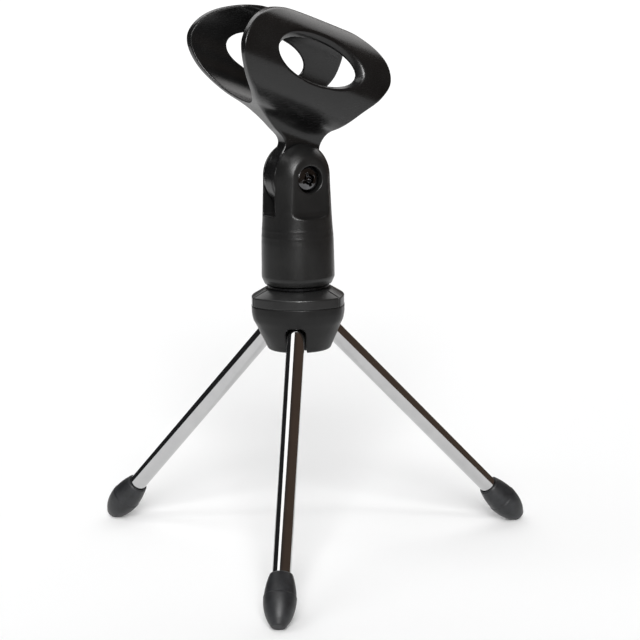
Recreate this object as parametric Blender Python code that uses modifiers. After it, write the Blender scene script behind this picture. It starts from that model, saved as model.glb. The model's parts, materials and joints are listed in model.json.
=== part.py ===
"""Desktop tripod stand for a handheld microphone.

Three chromed legs fold on pins in a three-sided hub. A threaded stud on the hub carries a round
fork, and a sprung clip that holds the microphone tilts in the fork on a cross screw.

Units are metres, +Z is up. The origin is on the table, at the middle of the stand's footprint.
"""

import math

import bmesh
import bpy
from mathutils import Matrix, Vector

# ---------------------------------------------------------------- driving dimensions

GAP = 0.0003                          # air left between pieces that touch
CUTTER_STEP = 0.00002                 # keeps two cutters' faces from lying in one plane

# Legs. Each axis leaves the stand's centre line at LEG_APEX_Z and lies LEG_SPREAD off the vertical.
LEG_AZIMUTHS = {"front": -90.0, "right": 30.0, "left": 150.0}
LEG_SPREAD = math.radians(43.9)
LEG_APEX_Z = 0.0894
LEG_RADIUS = 0.0030
LEG_WALL = 0.0008
LEG_PIN_REACH = 0.0135                # from the centre line to the pin, along the leg
LEG_END_PAST_PIN = 0.0030
LEG_TUBE_REACH = 0.1165
PIN_RADIUS = 0.0010
PIN_HALF_LENGTH = 0.0062

# Rubber boots, measured along the leg from the centre line.
BOOT_MOUTH_REACH = 0.1044
BOOT_WIDEST_REACH = 0.1120
BOOT_TIP_REACH = 0.1220
BOOT_RADIUS = 0.00525
BOOT_MOUTH_RADIUS = 0.0038
BOOT_TIP_RADIUS = 0.0017
BOOT_FLAT_DEPTH = 0.00012             # how far the resting patch is pressed in

# Hub: a rounded triangle whose gently bulging sides face the legs.
HUB_SEAM_Z = 0.0867
HUB_BOTTOM_Z = 0.0714
HUB_RIM_Z = 0.0897
HUB_TOP_Z = 0.0920
HUB_SIDE_RADIUS = 0.0149              # from the centre line to the middle of a side
HUB_CORNER_RADIUS = 0.0168
HUB_SIDE_ARC = 0.01954                # radius of the bulging side itself
HUB_SEGMENTS = 54
HUB_BORE = 0.0052
SLOT_SWING_RADIUS = 0.0041            # room round the pin for the end of a leg to swing
CORNER_POCKET_OFFSET = 0.0108
CORNER_POCKET_RADIUS = 0.0027
CORNER_POCKET_FLOOR_Z = 0.0765
CAP_OVERHANG = 0.00015
KEEPER_OFFSET = 0.0050                # from a leg's middle to the keeper over each pin end
KEEPER_HALF = (0.0010, 0.0011)

# Threaded stud, 5/8 inch.
STUD_RADIUS = 0.00765
STUD_TOP_Z = 0.1040
FLANGE_RADIUS = 0.0103
FLANGE_TOP_Z = 0.0932
SPIGOT_RADIUS = 0.0049
SPIGOT_BOTTOM_Z = 0.0844

# Hub screw, M4, driven from below.
SCREW_RADIUS = 0.0020
SCREW_HOLE = 0.0023
SCREW_HEAD_RADIUS = 0.0040
HEAD_RECESS_RADIUS = 0.0047
HEAD_RECESS_TOP_Z = 0.0752
WASHER_RADIUS = 0.0043

# Fork that screws onto the stud.
BASE_BOTTOM_Z = 0.0935
BASE_INSERT_TOP_Z = 0.1065
BASE_RADIUS = 0.0122
PIVOT_Z = 0.1290
DOME_RADIUS = 0.01108
DOME_HEIGHT = 0.0117
DOME_START_Z = 0.1295
FORK_SLOT_HALF = 0.0038
FORK_SLOT_BOTTOM_Z = 0.1170
FLAT_OFFSET = 0.0092                  # from the centre line to the flat on each ear
FLAT_BOTTOM_Z = 0.1172
LEDGE_RUN = (0.0050, 0.0026)          # outward and down, of the ledge below a flat
HEAD_SEAT = 0.0056                    # from the centre line to the underside of the screw's head
HEAD_POCKET_RADIUS = 0.0045
NUT_FLATS = 0.0068
FRICTION_WASHER_RADIUS = 0.0050
INSERT_RADIUS = 0.0090

# Clip. Its cross section is an egg, open at the top, that runs along a barrel leaning BARREL_TILT.
CLIP_AZIMUTH = 35.5                   # direction of the screw head, from the front leg towards +X
BARREL_TILT = math.radians(21.5)
EGG_MIDDLE = 0.0323                   # height of the widest line above the pivot
EGG_RADIUS = 0.0200
EGG_RISE = 0.0194                     # from the widest line up to where the egg would close
EGG_DEPTH = 0.0158                    # from the widest line down to the bottom, outside
EGG_INNER_DEPTH = 0.0144              # and inside
CLIP_WALL = 0.0030
LIP_OFFSET = 0.0082                   # from the middle plane to each lip at the open top
TONGUE_HALF = 0.0026
TONGUE_RADIUS = 0.0107
BOSS_RADIUS = 0.0104                   # thicker disc on the tongue that fills the fork
BOSS_HALF = 0.0035
WINDOW_INNER = (0.0156, 0.0357, 0.0152, 0.0066)  # middle along and above, half length and height
WINDOW_OUTER = (0.0152, 0.0367, 0.0170, 0.0081)

# ---------------------------------------------------------------- scene helpers


def clear_scene():
    for item in list(bpy.data.objects):
        bpy.data.objects.remove(item, do_unlink=True)


def new_collection(name):
    collection = bpy.data.collections.new(name)
    bpy.context.scene.collection.children.link(collection)
    return collection


def principled(name, colour, roughness, metallic=0.0):
    material = bpy.data.materials.new(name)
    material.use_nodes = True
    shader = material.node_tree.nodes["Principled BSDF"]
    shader.inputs["Base Color"].default_value = (*colour, 1.0)
    shader.inputs["Roughness"].default_value = roughness
    shader.inputs["Metallic"].default_value = metallic
    return material


def place(name, mesh, matrix=None, parent=None):
    """Make an object of the mesh, with the matrix taken in its parent's frame."""
    item = bpy.data.objects.new(name, mesh)
    PARTS.objects.link(item)
    item.parent = parent
    item.matrix_basis = matrix or Matrix.Identity(4)
    return item


def as_cutter(item):
    PARTS.objects.unlink(item)
    CUTTERS.objects.link(item)
    item.hide_render = True
    item.display_type = "WIRE"
    return item


def finish_part(item, material):
    item.data.materials.clear()
    item.data.materials.append(material)
    item.data.shade_smooth()
    item.data.set_sharp_from_angle(angle=math.radians(35.0))
    return item


def combine(item, other, operation="DIFFERENCE"):
    """Cut, join or intersect the item with the other object, which becomes a cutter."""
    modifier = item.modifiers.new(other.name, "BOOLEAN")
    modifier.object = as_cutter(other)
    modifier.operation = operation
    modifier.solver = "EXACT"


def empty(name, matrix, parent=None):
    item = bpy.data.objects.new(name, None)
    PARTS.objects.link(item)
    item.empty_display_size = 0.01
    item.parent = parent
    item.matrix_basis = matrix
    return item


# ---------------------------------------------------------------- shape helpers


def turned(name, profile, matrix=None, parent=None, steps=28, closed=False):
    """Turn a profile of (radius, height) points about Z, listed down its outer side."""
    mesh = bpy.data.meshes.new(name)
    edges = [(i, i + 1) for i in range(len(profile) - 1)]
    if closed:
        edges.append((len(profile) - 1, 0))
    mesh.from_pydata([(radius, 0.0, height) for radius, height in profile], edges, [])
    item = place(name, mesh, matrix, parent)
    screw = item.modifiers.new("Turn", "SCREW")
    screw.angle = math.tau
    screw.steps = steps
    screw.render_steps = steps
    screw.use_merge_vertices = True
    screw.merge_threshold = 0.00001
    return item


def ring_profile(outer, inner, top, bottom):
    return [(inner, top), (outer, top), (outer, bottom), (inner, bottom)]


def rod_profile(radius, top, bottom, chamfer):
    return [
        (0.0, top),
        (radius - chamfer, top),
        (radius, top - chamfer),
        (radius, bottom + chamfer),
        (radius - chamfer, bottom),
        (0.0, bottom),
    ]


def rod(name, radius, top, bottom, matrix=None, parent=None, steps=32):
    mesh = bpy.data.meshes.new(name)
    shape = bmesh.new()
    bmesh.ops.create_cone(
        shape,
        cap_ends=True,
        segments=steps,
        radius1=radius,
        radius2=radius,
        depth=top - bottom,
        matrix=Matrix.Translation((0.0, 0.0, (top + bottom) / 2)),
    )
    shape.to_mesh(mesh)
    shape.free()
    return place(name, mesh, matrix, parent)


def block(name, low, high, matrix=None, parent=None):
    low, high = Vector(low), Vector(high)
    mesh = bpy.data.meshes.new(name)
    shape = bmesh.new()
    size = Matrix.Diagonal((*(high - low), 1.0))
    bmesh.ops.create_cube(shape, size=1.0, matrix=Matrix.Translation((low + high) / 2) @ size)
    shape.to_mesh(mesh)
    shape.free()
    return place(name, mesh, matrix, parent)


def curve_to_part(name, curve, matrix, parent):
    """Make a closed mesh object of a filled curve, and remove the curve."""
    source = bpy.data.objects.new(name + "_curve", curve)
    bpy.context.scene.collection.objects.link(source)
    evaluated = source.evaluated_get(bpy.context.evaluated_depsgraph_get())
    mesh = bpy.data.meshes.new_from_object(evaluated)
    bpy.data.objects.remove(source, do_unlink=True)
    shape = bmesh.new()
    shape.from_mesh(mesh)
    bmesh.ops.remove_doubles(shape, verts=shape.verts, dist=0.000005)
    bmesh.ops.recalc_face_normals(shape, faces=shape.faces)
    shape.to_mesh(mesh)
    shape.free()
    return place(name, mesh, matrix, parent)


def outline_solid(name, points, half_thickness, matrix=None, parent=None, smooth=False):
    """Extrude a closed outline of (x, y) points both ways along Z."""
    curve = bpy.data.curves.new(name, "CURVE")
    curve.dimensions = "2D"
    curve.fill_mode = "BOTH"
    curve.extrude = half_thickness
    curve.resolution_u = 5
    curve.render_resolution_u = 0
    spline = curve.splines.new("BEZIER" if smooth else "POLY")
    knots = spline.bezier_points if smooth else spline.points
    knots.add(len(points) - 1)
    for knot, (x, y) in zip(knots, points):
        if smooth:
            knot.co = (x, y, 0.0)
            knot.handle_left_type = "AUTO"
            knot.handle_right_type = "AUTO"
        else:
            knot.co = (x, y, 0.0, 1.0)
    spline.use_cyclic_u = True
    return curve_to_part(name, curve, matrix, parent)


def loft(name, rings, matrix=None, parent=None):
    """Skin a closed solid over rings that hold the same number of points."""
    shape = bmesh.new()
    rows = [[shape.verts.new(point) for point in ring] for ring in rings]
    count = len(rings[0])
    for lower, upper in zip(rows, rows[1:]):
        for i in range(count):
            j = (i + 1) % count
            shape.faces.new((lower[i], lower[j], upper[j], upper[i]))
    for row, ring in ((rows[0], rings[0]), (rows[-1], rings[-1])):
        middle = shape.verts.new(sum((Vector(point) for point in ring), Vector()) / count)
        for i in range(count):
            shape.faces.new((row[i], row[(i + 1) % count], middle))
    bmesh.ops.recalc_face_normals(shape, faces=shape.faces)
    mesh = bpy.data.meshes.new(name)
    shape.to_mesh(mesh)
    shape.free()
    return place(name, mesh, matrix, parent)


def arc(centre, radius_x, radius_y, start, end, steps):
    """Points of an ellipse's arc, angles in degrees from +X."""
    points = []
    for i in range(steps + 1):
        angle = math.radians(start + (end - start) * i / steps)
        x = centre[0] + radius_x * math.cos(angle)
        points.append((x, centre[1] + radius_y * math.sin(angle)))
    return points


# ---------------------------------------------------------------- frames


def leg_point(reach):
    """Distance from the centre line, and height, of a point on a leg's axis."""
    return reach * math.sin(LEG_SPREAD), LEG_APEX_Z - reach * math.cos(LEG_SPREAD)


def radial_frame(azimuth):
    """Frame on the centre line whose +X points along the azimuth."""
    return Matrix.Rotation(math.radians(azimuth), 4, "Z")


def leg_frame(azimuth):
    """Frame on the leg's pin: +Y along the pin, +Z up along the leg."""
    radius, height = leg_point(LEG_PIN_REACH)
    lean = Matrix.Rotation(-LEG_SPREAD, 4, "Y")
    return radial_frame(azimuth) @ Matrix.Translation((radius, 0.0, height)) @ lean


def barrel_frame():
    """Frame on the pivot that lies with the barrel: +X across it along the screw, +Z along it."""
    across = Vector((0.0, 1.0, 0.0))
    along = Vector((math.cos(BARREL_TILT), 0.0, math.sin(BARREL_TILT)))
    upward = Vector((-math.sin(BARREL_TILT), 0.0, math.cos(BARREL_TILT)))
    return Matrix((across, upward, along)).transposed().to_4x4()


def along_screw():
    """Turn a turned shape's +Z onto the screw's axis, which is local +Y."""
    return Matrix.Rotation(math.radians(-90.0), 4, "X")


# ---------------------------------------------------------------- hub


def triangle_share(azimuth):
    """How far a direction is from the middle of a side (0) to a corner (1), in radius."""
    off_middle = (azimuth + 90.0 + 60.0) % 120.0 - 60.0
    set_back = HUB_SIDE_ARC - HUB_SIDE_RADIUS
    half = set_back * math.cos(math.radians(off_middle))
    radius = -half + math.sqrt(half * half + HUB_SIDE_ARC**2 - set_back**2)
    share = (radius - HUB_SIDE_RADIUS) / (HUB_CORNER_RADIUS - HUB_SIDE_RADIUS)
    softened = max(0.0, abs(off_middle) - 54.0) / 6.0
    return share - 0.08 * softened * softened


def hub_ring(height, side, corner):
    ring = []
    for i in range(HUB_SEGMENTS):
        azimuth = 360.0 * i / HUB_SEGMENTS
        radius = side + (corner - side) * triangle_share(azimuth)
        angle = math.radians(azimuth)
        ring.append((radius * math.cos(angle), radius * math.sin(angle), height))
    return ring


def cut_leg_slot(bowl, azimuth):
    """Slot that a leg swings in, from its open rest to straight down."""
    radius, height = leg_point(LEG_PIN_REACH)
    clear = LEG_RADIUS + GAP
    run_out = 0.02
    normal = math.degrees(LEG_SPREAD)
    end = normal - math.degrees(math.acos(clear / SLOT_SWING_RADIUS))
    outline = arc((radius, height), SLOT_SWING_RADIUS, SLOT_SWING_RADIUS, 180.0, end, 12)
    far, low = leg_point(LEG_PIN_REACH + run_out)
    far += clear * math.cos(LEG_SPREAD)
    low += clear * math.sin(LEG_SPREAD)
    below = HUB_BOTTOM_Z - run_out
    outline += [(far, low), (far, below), (radius - SLOT_SWING_RADIUS, below)]
    side_on = Matrix.Rotation(math.radians(90.0), 4, "X")
    combine(bowl, outline_solid("leg_slot", outline, clear, radial_frame(azimuth) @ side_on, ROOT))


def cut_pin_seat(bowl, azimuth):
    """Groove, open at the top, that a leg's pin drops into."""
    radius, height = leg_point(LEG_PIN_REACH)
    frame = radial_frame(azimuth) @ Matrix.Translation((radius, 0.0, height))
    half_width = PIN_RADIUS + GAP
    half_length = PIN_HALF_LENGTH + GAP
    low = (-half_width, -half_length, -CUTTER_STEP * 5)
    high = (half_width, half_length, HUB_SEAM_Z - height + GAP)
    combine(bowl, block("pin_seat_sides", low, high, frame, ROOT))
    floor_radius = half_width + CUTTER_STEP
    floor_end = half_length + CUTTER_STEP
    turn = frame @ along_screw()
    combine(bowl, rod("pin_seat_floor", floor_radius, floor_end, -floor_end, turn, ROOT, steps=16))


def make_hub_bowl():
    top = HUB_SEAM_Z - GAP / 2
    above = HUB_TOP_Z
    below = HUB_BOTTOM_Z - 0.01
    rings = [
        hub_ring(top, HUB_SIDE_RADIUS, HUB_CORNER_RADIUS),
        hub_ring(0.0836, 0.01475, 0.0166),
        hub_ring(0.0818, 0.0144, 0.0161),
        hub_ring(0.0800, 0.0137, 0.0150),
        hub_ring(0.0770, 0.0126, 0.0135),
        hub_ring(0.0736, 0.0112, 0.0117),
        hub_ring(HUB_BOTTOM_Z + 0.0006, 0.0105, 0.0108),
        hub_ring(HUB_BOTTOM_Z, 0.0097, 0.0099),
    ]
    bowl = loft("hub_bowl", rings, parent=ROOT)
    for azimuth in LEG_AZIMUTHS.values():
        cut_leg_slot(bowl, azimuth)
        cut_pin_seat(bowl, azimuth)
        corner = radial_frame(azimuth + 60.0) @ Matrix.Translation((CORNER_POCKET_OFFSET, 0.0, 0.0))
        combine(bowl, rod("corner_pocket", CORNER_POCKET_RADIUS, above, CORNER_POCKET_FLOOR_Z,
                          corner, ROOT, steps=20))
    combine(bowl, rod("spigot_bore", HUB_BORE, above, SPIGOT_BOTTOM_Z - GAP, parent=ROOT))
    combine(bowl, rod("hub_screw_hole", SCREW_HOLE, above, below, parent=ROOT, steps=24))
    combine(bowl, rod("head_recess", HEAD_RECESS_RADIUS, HEAD_RECESS_TOP_Z, below, parent=ROOT))
    return finish_part(bowl, BLACK_PLASTIC)


def make_hub_cap():
    side = HUB_SIDE_RADIUS + CAP_OVERHANG
    corner = HUB_CORNER_RADIUS + CAP_OVERHANG
    bottom = HUB_SEAM_Z + GAP / 2
    ceiling = HUB_RIM_Z - 0.0005
    rings = [
        hub_ring(bottom, side, corner),
        hub_ring(ceiling, side, corner),
        hub_ring(HUB_RIM_Z, side - 0.0003, corner - 0.0003),
        hub_ring(HUB_TOP_Z - 0.0001, 0.0114, 0.0117),
        hub_ring(HUB_TOP_Z, 0.0110, 0.0112),
    ]
    cap = loft("hub_cap", rings, parent=ROOT)
    hollow = ring_profile(0.0125, 0.0075, ceiling, HUB_BOTTOM_Z)
    combine(cap, turned("cap_hollow", hollow, parent=ROOT, closed=True))
    pin_radius, pin_height = leg_point(LEG_PIN_REACH)
    for azimuth in LEG_AZIMUTHS.values():
        for side_sign in (-1.0, 1.0):
            middle = Matrix.Translation((pin_radius, side_sign * KEEPER_OFFSET, 0.0))
            low = (-KEEPER_HALF[0], -KEEPER_HALF[1], pin_height + PIN_RADIUS + GAP)
            high = (*KEEPER_HALF, ceiling + GAP)
            keeper = block("pin_keeper", low, high, radial_frame(azimuth) @ middle, ROOT)
            combine(cap, keeper, "UNION")
    for azimuth in LEG_AZIMUTHS.values():
        combine(cap, corner_groove(azimuth + 60.0))
    combine(cap, rod("cap_bore", HUB_BORE, FLANGE_TOP_Z, HUB_BOTTOM_Z, parent=ROOT))
    return finish_part(cap, BLACK_PLASTIC)


def corner_groove(azimuth):
    """Fine groove down the sloping top of the cap, out to one of its corners."""
    start = Vector((0.0113, 0.0, HUB_TOP_Z - 0.0001))
    end = Vector((HUB_CORNER_RADIUS, 0.0, HUB_RIM_Z - 0.0001))
    slope = math.atan2(end.z - start.z, end.x - start.x)
    lie = Matrix.Translation(start) @ Matrix.Rotation(-slope, 4, "Y")
    length = (end - start).length
    half_width = 0.00022
    depth = 0.0003
    low = (-depth, -half_width, -depth)
    high = (length + 0.002, half_width, 0.001)
    return block("corner_groove", low, high, radial_frame(azimuth) @ lie, ROOT)


def make_thread_stud():
    profile = [
        (0.0, STUD_TOP_Z),
        (STUD_RADIUS - 0.0008, STUD_TOP_Z),
        (STUD_RADIUS, STUD_TOP_Z - 0.0008),
        (STUD_RADIUS, FLANGE_TOP_Z),
        (FLANGE_RADIUS - 0.0002, FLANGE_TOP_Z),
        (FLANGE_RADIUS, FLANGE_TOP_Z - 0.0002),
        (FLANGE_RADIUS, HUB_TOP_Z + GAP),
        (SPIGOT_RADIUS, HUB_TOP_Z + GAP),
        (SPIGOT_RADIUS, SPIGOT_BOTTOM_Z),
        (SCREW_HOLE, SPIGOT_BOTTOM_Z),
        (SCREW_HOLE, 0.0960),
        (0.0, 0.0972),
    ]
    stud = turned("thread_stud", profile, parent=ROOT)
    return finish_part(stud, BLACK_STEEL)


def make_hub_screw():
    head_top = 0.0739
    profile = [
        (0.0, 0.0950),
        (SCREW_RADIUS - 0.0005, 0.0950),
        (SCREW_RADIUS, 0.0945),
        (SCREW_RADIUS, head_top),
        (SCREW_HEAD_RADIUS, head_top),
        (SCREW_HEAD_RADIUS, head_top - 0.0010),
        (0.0030, head_top - 0.0018),
        (0.0, head_top - 0.0020),
    ]
    screw = turned("hub_screw", profile, parent=ROOT)
    reach, half_width = 0.0019, 0.0004
    for turn in (0.0, 90.0):
        low = (-reach, -half_width, HUB_BOTTOM_Z)
        high = (reach, half_width, head_top - 0.0010)
        combine(screw, block("hub_screw_cross", low, high, radial_frame(turn), ROOT))
    faces = (HEAD_RECESS_TOP_Z - GAP, head_top + GAP)
    washer = turned("hub_screw_washer", ring_profile(WASHER_RADIUS, SCREW_HOLE, *faces),
                    parent=ROOT, closed=True)
    return [finish_part(screw, BLACK_STEEL), finish_part(washer, PLAIN_STEEL)]


# ---------------------------------------------------------------- legs


def make_leg(name, azimuth):
    pivot = empty("leg_pivot_" + name, leg_frame(azimuth), ROOT)
    below = LEG_TUBE_REACH - LEG_PIN_REACH
    inner = LEG_RADIUS - LEG_WALL
    profile = [
        (inner, LEG_END_PAST_PIN),
        (LEG_RADIUS - 0.0007, LEG_END_PAST_PIN),
        (LEG_RADIUS, LEG_END_PAST_PIN - 0.0007),
        (LEG_RADIUS, -below),
        (inner, -below),
    ]
    tube = turned("leg_tube_" + name, profile, parent=pivot, closed=True)
    through = LEG_RADIUS * 2
    hole = rod("pin_hole", PIN_RADIUS + GAP, through, -through, along_screw(), pivot, steps=16)
    combine(tube, hole)
    finish_part(tube, CHROME)
    solid = rod_profile(PIN_RADIUS, PIN_HALF_LENGTH, -PIN_HALF_LENGTH, chamfer=0.0002)
    pin = turned("leg_pin_" + name, solid, leg_frame(azimuth) @ along_screw(), ROOT, steps=16)
    finish_part(pin, PLAIN_STEEL)
    make_boot(name, azimuth, pivot)


def boot_profile():
    """Outer side from the tip back to the mouth, as (radius, reach) along the leg."""
    blend = 0.0009
    tip = arc((BOOT_TIP_RADIUS, BOOT_TIP_REACH - blend), blend, blend, 90.0, 30.0, 2)
    belly = []
    belly_start = BOOT_TIP_REACH - 0.0012
    belly_length = BOOT_TIP_REACH + 0.0006 - BOOT_WIDEST_REACH
    steps = 6
    for i in range(steps + 1):
        reach = belly_start + (BOOT_WIDEST_REACH - belly_start) * i / steps
        along = (reach - BOOT_WIDEST_REACH) / belly_length
        belly.append((BOOT_RADIUS * math.sqrt(1.0 - along * along), reach))
    skirt = []
    steps = 4
    for i in range(1, steps + 1):
        share = i / steps
        radius = BOOT_RADIUS - (BOOT_RADIUS - BOOT_MOUTH_RADIUS) * share**1.8
        skirt.append((radius, BOOT_WIDEST_REACH - (BOOT_WIDEST_REACH - BOOT_MOUTH_REACH) * share))
    return [(0.0, BOOT_TIP_REACH)] + tip + belly + skirt


def make_boot(name, azimuth, pivot):
    bore = LEG_RADIUS + GAP
    side = list(reversed(boot_profile()))
    inside = [(0.0, LEG_TUBE_REACH + GAP), (bore, LEG_TUBE_REACH + GAP), (bore, BOOT_MOUTH_REACH)]
    profile = [(radius, LEG_PIN_REACH - reach) for radius, reach in inside + side]
    boot = turned("leg_boot_" + name, profile, parent=pivot, steps=28)
    table = resting_height()
    wide = LEG_TUBE_REACH * 2
    combine(boot, block("table", (-wide, -wide, table - wide), (wide, wide, table), None, ROOT))
    finish_part(boot, RUBBER)


def resting_height():
    """Height of the table in the hub's frame: just above the lowest point of the boots."""
    heights = []
    for radius, reach in boot_profile():
        heights.append(leg_point(reach)[1] - radius * math.sin(LEG_SPREAD))
    return min(heights) + BOOT_FLAT_DEPTH


def footprint_shift():
    """Offset that brings the middle of the three boots' box to the origin."""
    front = []
    back = []
    off_back = math.radians(60.0)
    lean = math.cos(LEG_SPREAD)
    for radius, reach in boot_profile():
        outward = leg_point(reach)[0]
        front.append(outward + radius * lean)
        rim = radius * math.hypot(lean * math.cos(off_back), math.sin(off_back))
        back.append(outward * math.cos(off_back) + rim)
    return Vector((0.0, (max(front) - max(back)) / 2, -resting_height()))


# ---------------------------------------------------------------- fork


def make_clip_base():
    bore = INSERT_RADIUS + GAP
    side = [
        (0.0111, BASE_BOTTOM_Z),
        (0.0113, BASE_BOTTOM_Z + 0.0001),
        (0.01212, BASE_BOTTOM_Z + 0.0023),
        (BASE_RADIUS, BASE_BOTTOM_Z + 0.0031),
        (0.01214, 0.1010),
        (0.01206, 0.1075),
        (0.01180, 0.1120),
        (0.01155, 0.1160),
        (0.01112, 0.1270),
    ]
    dome = arc((0.0, DOME_START_Z), DOME_RADIUS, DOME_HEIGHT, 0.0, 90.0, 10)
    inside = [(0.0, BASE_INSERT_TOP_Z + GAP), (bore, BASE_INSERT_TOP_Z + GAP), (bore, BASE_BOTTOM_Z)]
    profile = list(reversed(inside + side + dome))
    base = turned("clip_base", profile, parent=FORK, steps=40)
    reach = BASE_RADIUS * 2
    low = (-reach, -FORK_SLOT_HALF, FORK_SLOT_BOTTOM_Z)
    high = (reach, FORK_SLOT_HALF, PIVOT_Z + reach)
    combine(base, block("fork_slot", low, high, None, FORK))
    for side_sign in (-1.0, 1.0):
        combine(base, ear_flat(side_sign))
    across = Matrix.Translation((0.0, 0.0, PIVOT_Z)) @ along_screw()
    pocket_floor = HEAD_SEAT - GAP
    nut_corner = (NUT_FLATS + GAP * 2) / math.sqrt(3.0)
    combine(base, rod("pivot_hole", SCREW_HOLE, reach, -reach, across, FORK, steps=24))
    combine(base, rod("head_pocket", HEAD_POCKET_RADIUS, reach, pocket_floor, across, FORK))
    combine(base, rod("nut_pocket", nut_corner, -pocket_floor - GAP, -reach, across, FORK, steps=6))
    return finish_part(base, BLACK_PLASTIC)


def ear_flat(side_sign):
    """Cutter for the flat on the outside of an ear, with a sloping ledge below it."""
    outer = FLAT_OFFSET + LEDGE_RUN[0]
    above = PIVOT_Z + BASE_RADIUS * 2
    outline = [
        (FLAT_OFFSET, above),
        (FLAT_OFFSET, FLAT_BOTTOM_Z),
        (outer, FLAT_BOTTOM_Z - LEDGE_RUN[1]),
        (outer, above),
    ]
    points = [(side_sign * x, y) for x, y in outline]
    facing = Matrix.Rotation(math.radians(90.0), 4, "Z") @ Matrix.Rotation(math.radians(90.0), 4, "X")
    return outline_solid("ear_flat", points, BASE_RADIUS * 1.25, facing, FORK)


def make_thread_insert():
    bottom = BASE_BOTTOM_Z + 0.0005
    profile = ring_profile(INSERT_RADIUS, STUD_RADIUS + GAP, BASE_INSERT_TOP_Z, bottom)
    insert = turned("thread_insert", profile, parent=FORK, closed=True)
    return finish_part(insert, BRASS)


def make_pivot_screw():
    rim = HEAD_SEAT + 0.0010
    crown = 0.0012
    end = -0.0090
    profile = [(0.0, rim + crown)]
    profile += arc((0.0, rim), SCREW_HEAD_RADIUS, crown, 78.0, 0.0, 5)
    profile += [
        (SCREW_HEAD_RADIUS, HEAD_SEAT),
        (SCREW_RADIUS, HEAD_SEAT),
        (SCREW_RADIUS, end + 0.0004),
        (SCREW_RADIUS - 0.0004, end),
        (0.0, end),
    ]
    across = Matrix.Translation((0.0, 0.0, PIVOT_Z)) @ along_screw()
    screw = turned("pivot_screw", profile, across, FORK, steps=24)
    reach, half_width = 0.0021, 0.0004
    for turn in (20.0, 110.0):
        low = (-reach, -half_width, rim - 0.0002)
        high = (reach, half_width, rim + crown * 2)
        bar = block("pivot_screw_cross", low, high, across @ radial_frame(turn), FORK)
        combine(screw, bar)
    return finish_part(screw, BLACK_STEEL)


def make_pivot_nut():
    across = Matrix.Translation((0.0, 0.0, PIVOT_Z)) @ along_screw()
    top = -HEAD_SEAT - GAP
    nut = rod("pivot_nut", NUT_FLATS / math.sqrt(3.0), top, top - 0.0030, across, FORK, steps=6)
    combine(nut, rod("nut_thread", SCREW_HOLE, 0.0, top * 2, across, FORK, steps=24))
    return finish_part(nut, PLAIN_STEEL)


def make_friction_washers():
    across = Matrix.Translation((0.0, 0.0, PIVOT_Z)) @ along_screw()
    inner_face = TONGUE_HALF + GAP
    outer_face = FORK_SLOT_HALF - GAP
    for name, side_sign in (("screw_side", 1.0), ("nut_side", -1.0)):
        faces = sorted((side_sign * inner_face, side_sign * outer_face), reverse=True)
        profile = ring_profile(FRICTION_WASHER_RADIUS, SCREW_HOLE, *faces)
        washer = turned("friction_washer_" + name, profile, across, FORK, closed=True)
        finish_part(washer, RUBBER)


# ---------------------------------------------------------------- clip


def egg_half_width(height, radius, depth):
    """Half width of the egg at a height above the pivot, measured square to the barrel."""
    above = height - EGG_MIDDLE
    rise = radius - EGG_RADIUS + EGG_RISE
    share = above / (rise if above > 0.0 else depth)
    return radius * math.sqrt(max(0.0, 1.0 - share * share))


def clip_section():
    """Closed outline across the barrel: tongue, egg-shaped wall and the gap between the lips."""
    inner_radius = EGG_RADIUS - CLIP_WALL
    inner_rise = EGG_RISE - CLIP_WALL
    lip_angle = math.degrees(math.acos(LIP_OFFSET / (EGG_RADIUS - CLIP_WALL / 2)))
    middle = (0.0, EGG_MIDDLE)
    fillet_start = 0.0128
    fillet = (0.0046, 0.0044)
    right = [(TONGUE_HALF, -TONGUE_RADIUS * 1.5), (TONGUE_HALF, fillet_start)]
    right += arc((TONGUE_HALF + fillet[0], fillet_start), *fillet, 180.0, 105.0, 5)[1:]
    right += arc(middle, EGG_RADIUS, EGG_DEPTH, -66.0, 0.0, 12)
    right += arc(middle, EGG_RADIUS, EGG_RISE, 0.0, lip_angle, 12)[1:]
    lip = (LIP_OFFSET, EGG_MIDDLE + (EGG_RISE - CLIP_WALL / 2) * math.sin(math.radians(lip_angle)))
    right += arc(lip, CLIP_WALL / 2, CLIP_WALL / 2, lip_angle + 36.0, lip_angle + 144.0, 3)
    right += arc(middle, inner_radius, inner_rise, lip_angle, 0.0, 12)
    right += arc(middle, inner_radius, EGG_INNER_DEPTH, 0.0, -90.0, 14)[1:]
    left = [(-x, y) for x, y in reversed(right[:-1])]
    return right + left


def clip_side_outline():
    """Knots of the clip's outline seen along the screw, as (forward, up) from the pivot."""
    cosine, sine = math.cos(BARREL_TILT), math.sin(BARREL_TILT)
    front_knots = [
        (0.0187, 0.0505), (0.0300, 0.0491), (0.0388, 0.0446), (0.0433, 0.0390),
        (0.0442, 0.0325), (0.0390, 0.0252), (0.0301, 0.0194),
    ]
    rear_knots = [
        (-0.0104, 0.0322), (-0.0124, 0.0385), (-0.0096, 0.0452), (-0.0010, 0.0499), (0.0070, 0.0506),
    ]
    neck_front = [(0.0150, 0.0234), (0.0092, 0.0171), (0.0060, 0.0122)]
    tongue = arc((0.0, 0.0), TONGUE_RADIUS, TONGUE_RADIUS, 50.0, -230.0, 12)
    neck_rear = [(-0.0086, 0.0120), (-0.0104, 0.0157), (-0.0147, 0.0211)]

    def upright(point):
        return (point[0] * cosine - point[1] * sine, point[0] * sine + point[1] * cosine)

    head_front = [upright(point) for point in front_knots]
    head_rear = [upright(point) for point in rear_knots]
    return head_front + neck_front + tongue + neck_rear + head_rear


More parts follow.
